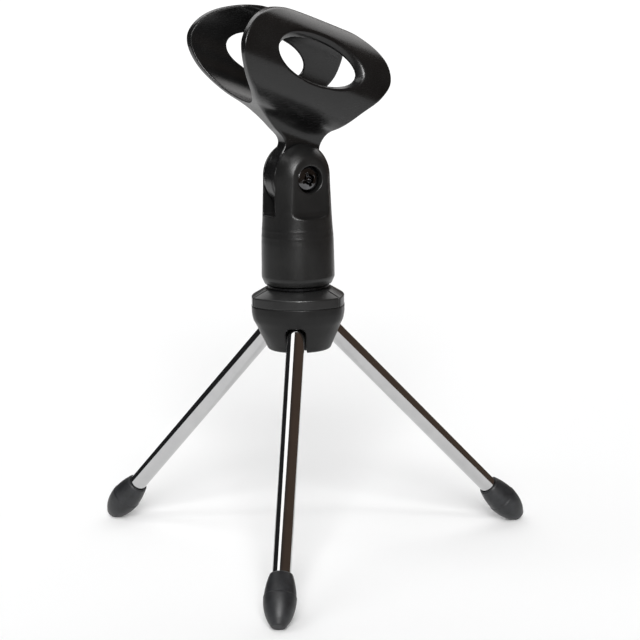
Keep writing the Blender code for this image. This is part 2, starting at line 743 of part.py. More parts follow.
def window_cutter(side_sign):
    """Flared oval through one arm, following the arm's inner and outer faces."""
    rings = []
    beyond_face = 0.0050
    inner_face = (EGG_RADIUS - CLIP_WALL, EGG_INNER_DEPTH)
    outer_face = (EGG_RADIUS, EGG_DEPTH)
    layers = (
        (WINDOW_INNER, inner_face, -beyond_face),
        (WINDOW_INNER, inner_face, 0.0),
        (WINDOW_OUTER, outer_face, 0.0),
        (WINDOW_OUTER, outer_face, beyond_face),
    )
    segments = 40
    for (middle_along, middle_height, half_length, half_height), face, beyond in layers:
        ring = []
        for i in range(segments):
            angle = math.tau * i / segments
            along = middle_along + half_length * math.cos(angle)
            height = middle_height + half_height * math.sin(angle)
            across = egg_half_width(height, *face) + beyond
            ring.append((side_sign * across, height, along))
        rings.append(ring)
    return loft("arm_window", rings, barrel_frame(), CLIP)


def make_mic_clip():
    clip = outline_solid("mic_clip", clip_section(), EGG_RADIUS * 3, barrel_frame(), CLIP)
    facing = Matrix.Rotation(math.radians(90.0), 4, "X")
    side = outline_solid("clip_side", clip_side_outline(), EGG_RADIUS * 1.5, facing, CLIP, smooth=True)
    combine(clip, side, "INTERSECT")
    for side_sign in (-1.0, 1.0):
        combine(clip, window_cutter(side_sign))
    across = along_screw()
    through = BOSS_HALF * 2
    combine(clip, rod("tongue_boss", BOSS_RADIUS, BOSS_HALF, -BOSS_HALF, across, CLIP, 40), "UNION")
    recess_radius = FRICTION_WASHER_RADIUS + GAP
    combine(clip, rod("washer_recess", recess_radius, through, TONGUE_HALF, across, CLIP))
    combine(clip, rod("washer_recess", recess_radius, -TONGUE_HALF, -through, across, CLIP))
    combine(clip, rod("tongue_hole", SCREW_HOLE, through, -through, across, CLIP, steps=24))
    return finish_part(clip, SATIN_PLASTIC)


# ---------------------------------------------------------------- assembly

clear_scene()
PARTS = new_collection("desktop_mic_stand")
CUTTERS = new_collection("cutters")

BLACK_PLASTIC = principled("black_plastic", (0.022, 0.022, 0.023), 0.42)
SATIN_PLASTIC = principled("satin_plastic", (0.020, 0.020, 0.021), 0.35)
RUBBER = principled("rubber", (0.028, 0.029, 0.032), 0.62)
CHROME = principled("chrome", (0.80, 0.80, 0.81), 0.07, 1.0)
BLACK_STEEL = principled("black_steel", (0.030, 0.030, 0.032), 0.22, 0.8)
PLAIN_STEEL = principled("plain_steel", (0.56, 0.57, 0.58), 0.30, 1.0)
BRASS = principled("brass", (0.72, 0.52, 0.22), 0.30, 1.0)

ROOT = empty("stand_axis", Matrix.Translation(footprint_shift()))
FORK = empty("fork_axis", radial_frame(180.0 + CLIP_AZIMUTH), ROOT)
CLIP = empty("clip_pivot", Matrix.Translation((0.0, 0.0, PIVOT_Z)), FORK)

make_hub_bowl()
make_hub_cap()
make_thread_stud()
make_hub_screw()
for leg_name, leg_azimuth in LEG_AZIMUTHS.items():
    make_leg(leg_name, leg_azimuth)
make_clip_base()
make_thread_insert()
make_pivot_screw()
make_pivot_nut()
make_friction_washers()
make_mic_clip()
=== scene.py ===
"""Looks of the desktop stand for a handheld microphone.

The moulded parts are solids described by signed distances, in metres and negative inside, so that
every edge has its own rounding. Each one is meshed on a grid and its points are then drawn exactly
onto the surface. Turned parts are lathed from a profile. Meshes are made in the frame of their
part (HUB, FORK, PIVOT or a leg's) and moved from there to the frame of the whole object.
"""

import json
import math

import bmesh
import bpy
import numpy as np
from mathutils import Matrix, Vector


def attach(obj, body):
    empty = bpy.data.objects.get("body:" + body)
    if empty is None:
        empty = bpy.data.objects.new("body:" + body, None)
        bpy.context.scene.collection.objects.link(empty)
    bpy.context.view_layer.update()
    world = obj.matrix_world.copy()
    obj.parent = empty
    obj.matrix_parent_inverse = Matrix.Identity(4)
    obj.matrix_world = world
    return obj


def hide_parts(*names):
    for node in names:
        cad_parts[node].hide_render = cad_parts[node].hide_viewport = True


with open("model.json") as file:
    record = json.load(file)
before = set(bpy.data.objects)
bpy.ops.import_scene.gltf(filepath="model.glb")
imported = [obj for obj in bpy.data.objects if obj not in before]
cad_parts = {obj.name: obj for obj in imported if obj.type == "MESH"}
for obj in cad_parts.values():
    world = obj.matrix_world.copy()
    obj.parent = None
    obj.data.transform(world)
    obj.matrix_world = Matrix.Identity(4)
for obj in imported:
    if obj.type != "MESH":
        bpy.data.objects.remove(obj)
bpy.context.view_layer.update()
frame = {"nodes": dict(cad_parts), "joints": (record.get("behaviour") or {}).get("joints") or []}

# ---------------------------------------------------------------- dimensions of the frame

GAP = 0.0003
PIVOT_Z = 0.1290
CLIP_AZIMUTH = 35.5                   # direction of the screw head, from the front leg towards +X
BARREL_TILT = math.radians(21.5)
LEG_AZIMUTHS = {"front": -90.0, "right": 30.0, "left": 150.0}
LEG_SPREAD = math.radians(43.9)
LEG_APEX_Z = 0.0894
LEG_PIN_REACH = 0.0135
LEG_TUBE_REACH = 0.1165
LEG_RADIUS = 0.0030

JOINTS = {joint["name"]: joint for joint in frame["joints"]}
AXIS_X, AXIS_Y, _ = JOINTS["base_turn"]["pos_m"]
TABLE_DROP = PIVOT_Z - JOINTS["clip_tilt"]["pos_m"][2]


def turn_z(degrees):
    """Turn about the upright axis."""
    return Matrix.Rotation(math.radians(degrees), 4, "Z")


HUB = Matrix.Translation((AXIS_X, AXIS_Y, -TABLE_DROP))
FORK = HUB @ turn_z(180.0 + CLIP_AZIMUTH)
PIVOT = FORK @ Matrix.Translation((0.0, 0.0, PIVOT_Z))
ALONG_SCREW = Matrix.Rotation(math.radians(-90.0), 4, "X")


def leg_point(reach):
    """Distance from the centre line, and height, of a point on a leg's axis."""
    return reach * math.sin(LEG_SPREAD), LEG_APEX_Z - reach * math.cos(LEG_SPREAD)


def leg_frame(azimuth):
    """Frame on the leg's pin: +Y along the pin, +Z up along the leg."""
    radius, height = leg_point(LEG_PIN_REACH)
    lean = Matrix.Rotation(-LEG_SPREAD, 4, "Y")
    return HUB @ turn_z(azimuth) @ Matrix.Translation((radius, 0.0, height)) @ lean


# ---------------------------------------------------------------- solids

EDGE_CRISP = 0.00015                  # roundings that several edges share
EDGE_FINE = 0.0003
EDGE_SOFT = 0.0005
GRID_COARSE = 0.00040                 # spacings of the grids that the solids are meshed on
GRID_MEDIUM = 0.00030
GRID_FINE = 0.00024
GRID_FINEST = 0.00014


def rounded_and(a, b, radius):
    """Where both solids are, with the edge between them rounded off."""
    near = np.maximum(np.maximum(a, b), -radius) + radius
    corner = np.hypot(np.maximum(a + radius, 0.0), np.maximum(b + radius, 0.0))
    return np.where(near > 0.0, corner - radius, np.maximum(a, b))


def rounded_or(a, b, radius):
    """Both solids together, with a fillet in the corner between them."""
    return -rounded_and(-a, -b, radius)


def polygon_distance(points, x, y):
    """Signed distance from a closed outline of (x, y) points."""
    shape = np.broadcast(x, y).shape
    best = np.full(shape, np.inf)
    inside = np.zeros(shape, bool)
    count = len(points)
    for i in range(count):
        ax, ay = points[i]
        bx, by = points[(i + 1) % count]
        ex, ey = bx - ax, by - ay
        share = np.clip(((x - ax) * ex + (y - ay) * ey) / (ex * ex + ey * ey), 0.0, 1.0)
        best = np.minimum(best, (x - ax - share * ex) ** 2 + (y - ay - share * ey) ** 2)
        if ay != by:
            spans = (ay > y) != (by > y)
            inside ^= spans & (x < ax + (y - ay) * ex / ey)
    distance = np.sqrt(best)
    return np.where(inside, -distance, distance)


def plane_field(points, margin=0.004, pitch=0.0001):
    """The outline's signed distance, sampled once and then read by interpolation."""
    outline = np.asarray(points, float)
    low = outline.min(0) - margin
    count = np.ceil((outline.max(0) + margin - low) / pitch).astype(int) + 1
    x = low[0] + pitch * np.arange(count[0])
    y = low[1] + pitch * np.arange(count[1])
    table = polygon_distance(points, x[:, None], y[None, :])
    last = count - 1.001                  # just inside the last cell

    def read(px, py):
        u = np.clip((px - low[0]) / pitch, 0.0, last[0])
        v = np.clip((py - low[1]) / pitch, 0.0, last[1])
        i, j = u.astype(int), v.astype(int)
        u, v = u - i, v - j
        lower = table[i, j] * (1.0 - u) + table[i + 1, j] * u
        upper = table[i, j + 1] * (1.0 - u) + table[i + 1, j + 1] * u
        return lower * (1.0 - v) + upper * v

    return read


def smooth_outline(knots, per_span=14):
    """Closed curve through the knots, as a list of points."""
    knots = [Vector(knot) for knot in knots]
    count = len(knots)
    points = []
    for i in range(count):
        a, b, c, d = (knots[(i + k) % count] for k in (-1, 0, 1, 2))
        out_of_b = (c - a).normalized() * (c - b).length / 3.0
        into_c = (d - b).normalized() * (c - b).length / 3.0
        for k in range(per_span):
            t = k / per_span
            s = 1.0 - t
            point = b * s**3 + (b + out_of_b) * 3 * s * s * t
            point += (c - into_c) * 3 * s * t * t + c * t**3
            points.append((point.x, point.y))
    return points


def arc(centre, radius_x, radius_y, start, end, steps):
    """Points of an ellipse's arc, angles in degrees from +X."""
    points = []
    for i in range(steps + 1):
        angle = math.radians(start + (end - start) * i / steps)
        x = centre[0] + radius_x * math.cos(angle)
        points.append((x, centre[1] + radius_y * math.sin(angle)))
    return points


def grid_slices(offset):
    """Slices that pick, for every cell, its corner with this offset."""
    return tuple(slice(1, None) if step else slice(None, -1) for step in offset)


def surface_cells(inside):
    """Cells of the grid that the surface passes through, and a grid of their numbers."""
    count = np.zeros([n - 1 for n in inside.shape], np.int8)
    for offset in np.ndindex(2, 2, 2):
        count += inside[grid_slices(offset)]
    active = (count > 0) & (count < 8)
    number = np.full(active.shape, -1, np.int32)
    number[active] = np.arange(active.sum())
    return np.argwhere(active), number


def cell_points(values, cells):
    """For each cell, the mean of the places where the surface crosses its edges."""
    total = np.zeros((len(cells), 3))
    hits = np.zeros(len(cells))
    for axis in range(3):
        step = np.eye(3, dtype=int)[axis]
        for first, second in np.ndindex(2, 2):
            offset = np.zeros(3, int)
            offset[(axis + 1) % 3] = first
            offset[(axis + 2) % 3] = second
            start = cells + offset
            end = start + step
            a = values[start[:, 0], start[:, 1], start[:, 2]]
            b = values[end[:, 0], end[:, 1], end[:, 2]]
            crossed = (a < 0.0) != (b < 0.0)
            share = np.where(crossed, a / np.where(a == b, 1.0, a - b), 0.0)
            total += np.where(crossed[:, None], start + share[:, None] * step, 0.0)
            hits += crossed
    return total / hits[:, None]


def cell_quads(inside, number):
    """Quads between the cells round every grid edge that the surface crosses."""
    quads = []
    for axis in range(3):
        u, v = (axis + 1) % 3, (axis + 2) % 3
        window = [slice(None)] * 3
        window[u] = slice(1, -1)
        window[v] = slice(1, -1)
        ahead = list(window)
        window[axis] = slice(None, -1)
        ahead[axis] = slice(1, None)
        here = inside[tuple(window)]
        there = inside[tuple(ahead)]
        for outward in (True, False):
            edges = np.argwhere((here != there) & (here == outward))
            edges[:, u] += 1
            edges[:, v] += 1
            corners = []
            for back_u, back_v in ((1, 1), (0, 1), (0, 0), (1, 0)):
                cell = edges.copy()
                cell[:, u] -= back_u
                cell[:, v] -= back_v
                corners.append(number[cell[:, 0], cell[:, 1], cell[:, 2]])
            if not outward:
                corners.reverse()
            quads.append(np.stack(corners, 1))
    return np.concatenate(quads)


def drawn_to_surface(field, points, step, rounds=3):
    """Move the points along the field's slope until they lie on the surface."""
    reach = step * 0.25
    least_square = 0.05                   # limits the moves where the field is flat
    for _ in range(rounds):
        x, y, z = points.T
        distance = field(x, y, z)
        slope = np.stack([
            field(x + reach, y, z) - field(x - reach, y, z),
            field(x, y + reach, z) - field(x, y - reach, z),
            field(x, y, z + reach) - field(x, y, z - reach),
        ], 1) / (2 * reach)
        square = np.maximum((slope**2).sum(1), least_square)
        move = np.clip(distance / square, -step * 0.5, step * 0.5)
        points = points - slope * move[:, None]
    return points


def mesh_from_arrays(name, points, quads):
    """Smooth-shaded mesh of the given points and quads."""
    mesh = bpy.data.meshes.new(name)
    mesh.vertices.add(len(points))
    mesh.vertices.foreach_set("co", points.astype(np.float32).ravel())
    mesh.loops.add(quads.size)
    mesh.loops.foreach_set("vertex_index", quads.astype(np.int32).ravel())
    mesh.polygons.add(len(quads))
    mesh.polygons.foreach_set("loop_start", np.arange(0, quads.size, quads.shape[1], dtype=np.int32))
    mesh.update(calc_edges=True)
    mesh.validate()
    mesh.shade_smooth()
    return mesh


def solid_mesh(name, field, low, high, step):
    """Mesh of the surface where the field is zero, inside a box."""
    low = np.asarray(low, float)
    counts = np.ceil((np.asarray(high, float) - low) / step).astype(int) + 1
    x, y, z = (low[i] + step * np.arange(counts[i]) for i in range(3))
    values = np.empty(counts, np.float32)
    slab = 24                             # layers worked out at a time, to save memory
    for start in range(0, counts[0], slab):
        part = x[start:start + slab]
        values[start:start + slab] = field(part[:, None, None], y[None, :, None], z[None, None, :])
    inside = values < 0.0
    cells, number = surface_cells(inside)
    points = low + cell_points(values, cells) * step
    points = drawn_to_surface(field, points, step)
    return mesh_from_arrays(name, points, cell_quads(inside, number))


def lathe_mesh(name, profile, steps=96):
    """Closed mesh of a profile turned about Z: (radius, height) points from the axis back to it."""
    radii = np.array([point[0] for point in profile])
    heights = np.array([point[1] for point in profile])
    angles = math.tau * np.arange(steps) / steps
    count = len(profile)
    points = np.empty((count, steps, 3))
    points[:, :, 0] = radii[:, None] * np.cos(angles)
    points[:, :, 1] = radii[:, None] * np.sin(angles)
    points[:, :, 2] = heights[:, None]
    index = np.arange(count * steps).reshape(count, steps)
    quads = []
    for i in range(count - 1):
        top, bottom = index[i], index[i + 1]
        quads.append(np.stack([top, bottom, np.roll(bottom, -1), np.roll(top, -1)], 1))
    mesh = mesh_from_arrays(name, points.reshape(-1, 3), np.concatenate(quads))
    weld_axis(mesh)
    return mesh


def weld_axis(mesh):
    """Join the points that lie on the axis, so that the ends of a turned shape close."""
    same_place = 0.000001
    shape = bmesh.new()
    shape.from_mesh(mesh)
    bmesh.ops.remove_doubles(shape, verts=shape.verts, dist=same_place)
    bmesh.ops.recalc_face_normals(shape, faces=shape.faces)
    shape.to_mesh(mesh)
    shape.free()
    mesh.shade_smooth()


def place(name, mesh, matrix, body, material, replaced=()):
    """Move the mesh where the matrix says, in the frame of the whole object, give it its material and
    attach it to its body.
    """
    mesh.transform(matrix)
    mesh.materials.append(material)
    item = bpy.data.objects.new(name, mesh)
    bpy.context.scene.collection.objects.link(item)
    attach(item, body)
    if replaced:
        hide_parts(*replaced)
    return item


# ---------------------------------------------------------------- materials

DUST = (0.16, 0.155, 0.15)


class Nodes:
    """Short names for adding and wiring a material's nodes."""

    def __init__(self, name):
        self.material = bpy.data.materials.new(name)
        self.material.use_nodes = True
        self.tree = self.material.node_tree
        self.shader = self.tree.nodes["Principled BSDF"]
        self.position = self.add("ShaderNodeTexCoord").outputs["Object"]

    def add(self, kind, **settings):
        node = self.tree.nodes.new(kind)
        for key, value in settings.items():
            setattr(node, key, value)
        return node

    def wire(self, source, target):
        self.tree.links.new(source, target)

    def stretched(self, scale):
        mapping = self.add("ShaderNodeMapping")
        mapping.inputs["Scale"].default_value = scale
        self.wire(self.position, mapping.inputs["Vector"])
        return mapping.outputs["Vector"]

    def noise(self, scale, detail=4.0, rough=0.55, vector=None):
        node = self.add("ShaderNodeTexNoise")
        node.inputs["Scale"].default_value = scale
        node.inputs["Detail"].default_value = detail
        node.inputs["Roughness"].default_value = rough
        self.wire(vector or self.position, node.inputs["Vector"])
        return node.outputs["Fac"]

    def span(self, value, low, high, from_low=0.3, from_high=0.7):
        node = self.add("ShaderNodeMapRange")
        node.inputs["From Min"].default_value = from_low
        node.inputs["From Max"].default_value = from_high
        node.inputs["To Min"].default_value = low
        node.inputs["To Max"].default_value = high
        self.wire(value, node.inputs["Value"])
        return node.outputs["Result"]

    def sum(self, first, second, operation="ADD"):
        node = self.add("ShaderNodeMath", operation=operation)
        for value, socket in ((first, node.inputs[0]), (second, node.inputs[1])):
            if isinstance(value, float):
                socket.default_value = value
            else:
                self.wire(value, socket)
        return node.outputs["Value"]

    def blend(self, share, first, second):
        node = self.add("ShaderNodeMix", data_type="RGBA")
        self.wire(share, node.inputs["Factor"])
        for value, socket in ((first, node.inputs[6]), (second, node.inputs[7])):
            if isinstance(value, tuple):
                socket.default_value = (*value, 1.0)
            else:
                self.wire(value, socket)
        return node.outputs[2]

    def bump(self, height, depth):
        node = self.add("ShaderNodeBump")
        node.inputs["Distance"].default_value = depth
        self.wire(height, node.inputs["Height"])
        self.wire(node.outputs["Normal"], self.shader.inputs["Normal"])

    def set(self, **values):
        for key, value in values.items():
            socket = self.shader.inputs[key.replace("_", " ")]
            socket.default_value = (*value, 1.0) if isinstance(value, tuple) else value


def moulded(name, dark, light, smooth, rough, grain, specular):
    """Black moulded plastic: fine grain, patches of different polish, faint scuffs and dust."""
    n = Nodes(name)
    n.set(Specular_IOR_Level=specular)
    patches = n.noise(90.0, 5.0)
    fine = n.noise(4200.0, 3.0, 0.7)
    scuffs = n.noise(1.0, 3.0, 0.6, n.stretched((260.0, 260.0, 5200.0)))
    polish = n.span(patches, smooth, rough)
    polish = n.sum(polish, n.span(scuffs, 0.0, 0.07, 0.58, 0.72))
    n.wire(polish, n.shader.inputs["Roughness"])
    dust = n.span(n.noise(2600.0, 2.0, 0.5), 0.0, 0.16, 0.76, 0.82)
    colour = n.blend(n.span(patches, 0.0, 1.0), dark, light)
    n.wire(n.blend(dust, colour, DUST), n.shader.inputs["Base Color"])
    n.bump(n.sum(fine, n.sum(patches, 0.4, "MULTIPLY")), grain)
    return n.material


def polished_chrome():
    """Bright chrome with a little haze and fine dull specks."""
    n = Nodes("chromed_tube")
    n.set(Metallic=1.0)
    haze = n.noise(140.0, 4.0)
    n.wire(n.span(haze, 0.045, 0.10), n.shader.inputs["Roughness"])
    specks = n.span(n.noise(3000.0, 2.0, 0.6), 0.0, 0.5, 0.70, 0.76)
    tint = n.blend(n.span(haze, 0.0, 1.0), (0.50, 0.50, 0.505), (0.56, 0.56, 0.56))
    n.wire(n.blend(specks, tint, (0.30, 0.29, 0.28)), n.shader.inputs["Base Color"])
    n.bump(n.noise(900.0, 3.0), 0.000004)
    return n.material


def worn_metal(name, dark, light, smooth, rough):
    """Metal with fine turning marks and patches of different tone."""
    n = Nodes(name)
    n.set(Metallic=1.0)
    turned = n.noise(1.0, 3.0, 0.6, n.stretched((300.0, 300.0, 9000.0)))
    patches = n.noise(420.0, 4.0)
    n.wire(n.span(turned, smooth, rough), n.shader.inputs["Roughness"])
    n.wire(n.blend(n.span(patches, 0.0, 1.0), dark, light), n.shader.inputs["Base Color"])
    n.bump(turned, 0.000006)
    return n.material


def soft_rubber(name):
    """Black rubber with a fine grain and a cloudy grey bloom."""
    n = Nodes(name)
    n.set(Specular_IOR_Level=0.42)
    patches = n.noise(160.0, 4.0)
    fine = n.noise(2600.0, 4.0, 0.7)
    n.wire(n.span(patches, 0.36, 0.48), n.shader.inputs["Roughness"])
    bloom = n.span(n.noise(420.0, 5.0, 0.7), 0.0, 1.0, 0.35, 0.75)
    n.wire(n.blend(bloom, (0.0085, 0.0088, 0.0095), (0.020, 0.021, 0.0235)), n.shader.inputs["Base Color"])
    n.bump(fine, 0.00004)
    return n.material


CLIP_PLASTIC = moulded("clip_plastic", (0.0045, 0.0045, 0.0046), (0.0075, 0.0075, 0.0075), 0.20, 0.28,
                       0.000010, 0.44)
BASE_PLASTIC = moulded("base_plastic", (0.0070, 0.0070, 0.0070), (0.0105, 0.0105, 0.0103), 0.27, 0.35,
                       0.000025, 0.36)
HUB_PLASTIC = moulded("hub_plastic", (0.0050, 0.0050, 0.0050), (0.0080, 0.0080, 0.0080), 0.30, 0.38,
                      0.00002, 0.26)
# The cap is the hub's plastic made lighter: painted reflection, standing in for the light its sloping top
# reflects.
CAP_PLASTIC_PAINTED_REFLECTION = moulded("cap_plastic_painted_reflection", (0.0110, 0.0110, 0.0110), (0.0145, 0.0145, 0.0145), 0.25, 0.33,
                      0.000015, 0.42)
RUBBER = soft_rubber("boot_rubber")
CHROME = polished_chrome()
SCREW_STEEL = worn_metal("glossy_black_steel", (0.085, 0.085, 0.088), (0.15, 0.15, 0.155), 0.10, 0.18)
BLACK_STEEL = worn_metal("black_plated_steel", (0.012, 0.012, 0.013), (0.022, 0.022, 0.023), 0.35, 0.50)
PLAIN_STEEL = worn_metal("zinc_plated_steel", (0.50, 0.51, 0.53), (0.62, 0.63, 0.65), 0.22, 0.38)
BRASS = worn_metal("turned_brass", (0.62, 0.44, 0.17), (0.74, 0.55, 0.25), 0.20, 0.34)

# ---------------------------------------------------------------- clip

EGG_MIDDLE = 0.0323                   # height of the widest line above the pivot
EGG_RADIUS = 0.0200
EGG_RISE = 0.0194
EGG_DEPTH = 0.0158
EGG_INNER_DEPTH = 0.0144
CLIP_WALL = 0.0030
MOUTH_HALF = 0.0067                   # half the gap between the lips
TONGUE_HALF = 0.0026
TONGUE_RADIUS = 0.0108
WINDOW_INNER = (0.0156, 0.0357, 0.0152, 0.0066)  # middle along and above, half length and height
WINDOW_OUTER = (0.0152, 0.0367, 0.0170, 0.0081)
SCREW_HOLE = 0.0023
BOSS_RADIUS = 0.0105                  # thicker disc on the tongue that fills the fork
BOSS_HALF = 0.0036
RECESS_RADIUS = 0.0053                # pocket for the friction washer on each side of the tongue


def ellipse(x, y, radius_x, radius_y):
    """Signed distance from an ellipse, close to its line."""
    scaled = np.hypot(x / radius_x, y / radius_y)
    slope = np.hypot(x / radius_x**2, y / radius_y**2)
    return scaled * (scaled - 1.0) / np.maximum(slope, 1.0)


def egg(across, above, radius, rise, depth):
    height = above - EGG_MIDDLE
    tall = np.where(height > 0.0, rise, depth)
    return ellipse(across, height, radius, tall)


def clip_side_outline():
    """The clip's outline seen along the screw, as (forward, up) from the pivot."""
    cosine, sine = math.cos(BARREL_TILT), math.sin(BARREL_TILT)
    front_knots = [
        (0.0187, 0.0505), (0.0300, 0.0491), (0.0388, 0.0446), (0.0433, 0.0390),
        (0.0442, 0.0325), (0.0390, 0.0252), (0.0301, 0.0194),
    ]
    rear_knots = [
        (-0.0104, 0.0322), (-0.0124, 0.0385), (-0.0096, 0.0452), (-0.0010, 0.0499), (0.0070, 0.0506),
    ]
    neck_front = [(0.0150, 0.0234), (0.0092, 0.0171), (0.0055, 0.0123)]
    tongue = arc((0.0, 0.0), TONGUE_RADIUS, TONGUE_RADIUS, 45.0, -225.0, 12)
    neck_rear = [(-0.0086, 0.0120), (-0.0104, 0.0157), (-0.0147, 0.0211)]

    def upright(point):
        return (point[0] * cosine - point[1] * sine, point[0] * sine + point[1] * cosine)

    head_front = [upright(point) for point in front_knots]
    head_rear = [upright(point) for point in rear_knots]
    return smooth_outline(head_front + neck_front + tongue + neck_rear + head_rear)


def make_mic_clip():
    """Cradle, windows, neck and tongue, with +X forward, +Y along the screw and +Z up."""
    cosine, sine = math.cos(BARREL_TILT), math.sin(BARREL_TILT)
    outline = plane_field(clip_side_outline())
    web_fillet = 0.0050
    lip_rounding = 0.0012
    window_start = 0.0080                 # the windows begin this far out from the middle plane
    flare_power = 1.4

    def field(forward, across, up):
        along = forward * cosine + up * sine
        above = up * cosine - forward * sine
        across = np.abs(across)
        outer = egg(across, above, EGG_RADIUS, EGG_RISE, EGG_DEPTH)
        inner = egg(across, above, EGG_RADIUS - CLIP_WALL, EGG_RISE - CLIP_WALL, EGG_INNER_DEPTH)
        tongue = np.maximum(across - TONGUE_HALF, above - EGG_MIDDLE)
        body = rounded_or(outer, tongue, web_fillet)
        body = rounded_and(body, -inner, EDGE_FINE)
        mouth = np.maximum(across - MOUTH_HALF, EGG_MIDDLE - above)
        body = rounded_and(body, -mouth, lip_rounding)
        flare = np.clip(inner / CLIP_WALL, 0.0, 1.5) ** flare_power
        middle_along = WINDOW_INNER[0] + (WINDOW_OUTER[0] - WINDOW_INNER[0]) * flare
        middle_above = WINDOW_INNER[1] + (WINDOW_OUTER[1] - WINDOW_INNER[1]) * flare
        half_length = WINDOW_INNER[2] + (WINDOW_OUTER[2] - WINDOW_INNER[2]) * flare
        half_height = WINDOW_INNER[3] + (WINDOW_OUTER[3] - WINDOW_INNER[3]) * flare
        window = ellipse(along - middle_along, above - middle_above, half_length, half_height)
        window = np.maximum(window, window_start - across)
        body = rounded_and(body, -window, EDGE_SOFT)
        body = rounded_and(body, outline(forward, up), EDGE_SOFT)
        radius = np.hypot(forward, up)
        boss = rounded_and(across - BOSS_HALF, radius - BOSS_RADIUS, EDGE_CRISP)
        recess = np.maximum(radius - RECESS_RADIUS, TONGUE_HALF - across)
        body = np.minimum(body, np.maximum(boss, -recess))
        return np.maximum(body, SCREW_HOLE - radius)

    low = (-0.029, -0.0206, -0.0115)
    high = (0.032, 0.0206, 0.0585)
    mesh = solid_mesh("mic_clip_moulding", field, low, high, GRID_COARSE)
    place("mic_clip_moulding", mesh, PIVOT, "clip", CLIP_PLASTIC, ["mic_clip"])


# ---------------------------------------------------------------- clip base with its fork

BASE_BOTTOM_Z = 0.0935
BASE_RADIUS = 0.0122
BASE_INSERT_TOP_Z = 0.1065
INSERT_RADIUS = 0.0090
DOME_RADIUS = 0.01108
DOME_HEIGHT = 0.0117
DOME_START_Z = 0.1295
FORK_SLOT_HALF = 0.0038
FORK_SLOT_BOTTOM_Z = 0.1170
FLAT_OFFSET = 0.0092
FLAT_BOTTOM_Z = 0.1172
LEDGE_RUN = (0.0050, 0.0026)
HEAD_SEAT = 0.0056
SCREW_HEAD_RADIUS = 0.0042
HEAD_POCKET_RADIUS = 0.0045
NUT_FLATS = 0.0068


def base_outline():
    """Both sides of the turned body, from its bottom edge over the dome, as (radius, height)."""
    side = [
        (0.0111, BASE_BOTTOM_Z),
        (0.01125, BASE_BOTTOM_Z + 0.0002),
        (0.01205, BASE_BOTTOM_Z + 0.0019),
        (BASE_RADIUS, BASE_BOTTOM_Z + 0.0026),
        (0.01214, 0.1010),
        (0.01206, 0.1075),
        (0.01198, 0.1091),
        (0.01198, 0.1097),
        (0.01192, 0.1102),
        (0.01183, 0.1115),
        (0.01182, 0.1121),
        (0.01175, 0.1126),
        (0.01155, 0.1160),
        (0.01112, 0.1270),
    ]
    dome = arc((0.0, DOME_START_Z), DOME_RADIUS, DOME_HEIGHT, 0.0, 90.0, 24)
    mirror = [(-radius, height) for radius, height in reversed(side + dome[:-1])]
    return side + dome + mirror


def hexagon(x, y, across_flats):
    """Signed distance from a hexagon with two corners on the X axis."""
    half = across_flats / 2
    slanted = np.abs(x) * math.cos(math.radians(30.0)) + np.abs(y) * 0.5
    return np.maximum(slanted, np.abs(y)) - half


def make_clip_base():
    """Turned body with the fork's slot, a flat on each ear, and the pockets for screw and nut."""
    outline = plane_field(base_outline())
    ledge = math.hypot(*LEDGE_RUN)
    flat_corner = 0.0008
    flat_edge = 0.0004
    nut_edge = 0.0002

    def field(x, y, z):
        body = outline(np.hypot(x, y), z)
        slot = rounded_and(np.abs(y) - FORK_SLOT_HALF, FORK_SLOT_BOTTOM_Z - z, EDGE_SOFT)
        body = rounded_and(body, -slot, EDGE_CRISP)
        out = np.abs(y) - FLAT_OFFSET
        below = (FLAT_BOTTOM_Z - z) * LEDGE_RUN[0] / ledge - out * LEDGE_RUN[1] / ledge
        flat = rounded_and(-out, below, flat_corner)
        body = rounded_and(body, -flat, flat_edge)
        radius = np.hypot(x, z - PIVOT_Z)
        head = np.maximum(radius - HEAD_POCKET_RADIUS, HEAD_SEAT - GAP - y)
        body = rounded_and(body, -head, EDGE_FINE)
        nut = np.maximum(hexagon(x, z - PIVOT_Z, NUT_FLATS + 2 * GAP), y + HEAD_SEAT)
        body = rounded_and(body, -nut, nut_edge)
        body = np.maximum(body, SCREW_HOLE - radius)
        bore = np.maximum(np.hypot(x, y) - INSERT_RADIUS - GAP, z - BASE_INSERT_TOP_Z - GAP)
        return rounded_and(body, -bore, EDGE_FINE)

    low = (-0.0126, -0.0126, 0.0931)
    high = (0.0126, 0.0126, 0.1417)
    mesh = solid_mesh("clip_base_moulding", field, low, high, GRID_MEDIUM)
    place("clip_base_moulding", mesh, FORK, "fork", BASE_PLASTIC, ["clip_base"])


# ---------------------------------------------------------------- hub

HUB_SEAM_Z = 0.0867
SEAM_GAP = 0.00001
SEAM_EDGE = 0.00003
HUB_BOTTOM_Z = 0.0714
HUB_RIM_Z = 0.0897
HUB_TOP_Z = 0.0920
HUB_SIDE_RADIUS = 0.0149
HUB_CORNER_RADIUS = 0.0168
HUB_BORE = 0.0052
HUB_BORE_FLOOR_Z = 0.0841
PIN_POCKET_RADIUS = 0.0013
PIN_POCKET_HALF = 0.0065
CAP_OVERHANG = 0.00003
SLOT_SWING_RADIUS = 0.0041
HEAD_RECESS_RADIUS = 0.0047
HEAD_RECESS_TOP_Z = 0.0752


def rounded_triangle(x, y, side, corner, edge):
    """Three bulging sides that face the legs, meeting in rounded corners."""
    set_back = (corner**2 - side**2) / (2.0 * side - corner)
    bulge = side + set_back
    whole = None
    for azimuth in LEG_AZIMUTHS.values():
        angle = math.radians(azimuth)
        distance = np.hypot(x + set_back * math.cos(angle), y + set_back * math.sin(angle)) - bulge
        whole = distance if whole is None else rounded_and(whole, distance, edge)
    return whole


def by_height(levels, z):
    """Side and corner radii of the hub at a height, smoothly between the levels given."""
    heights, sides, corners = zip(*levels)
    return np.interp(z, heights, sides), np.interp(z, heights, corners)


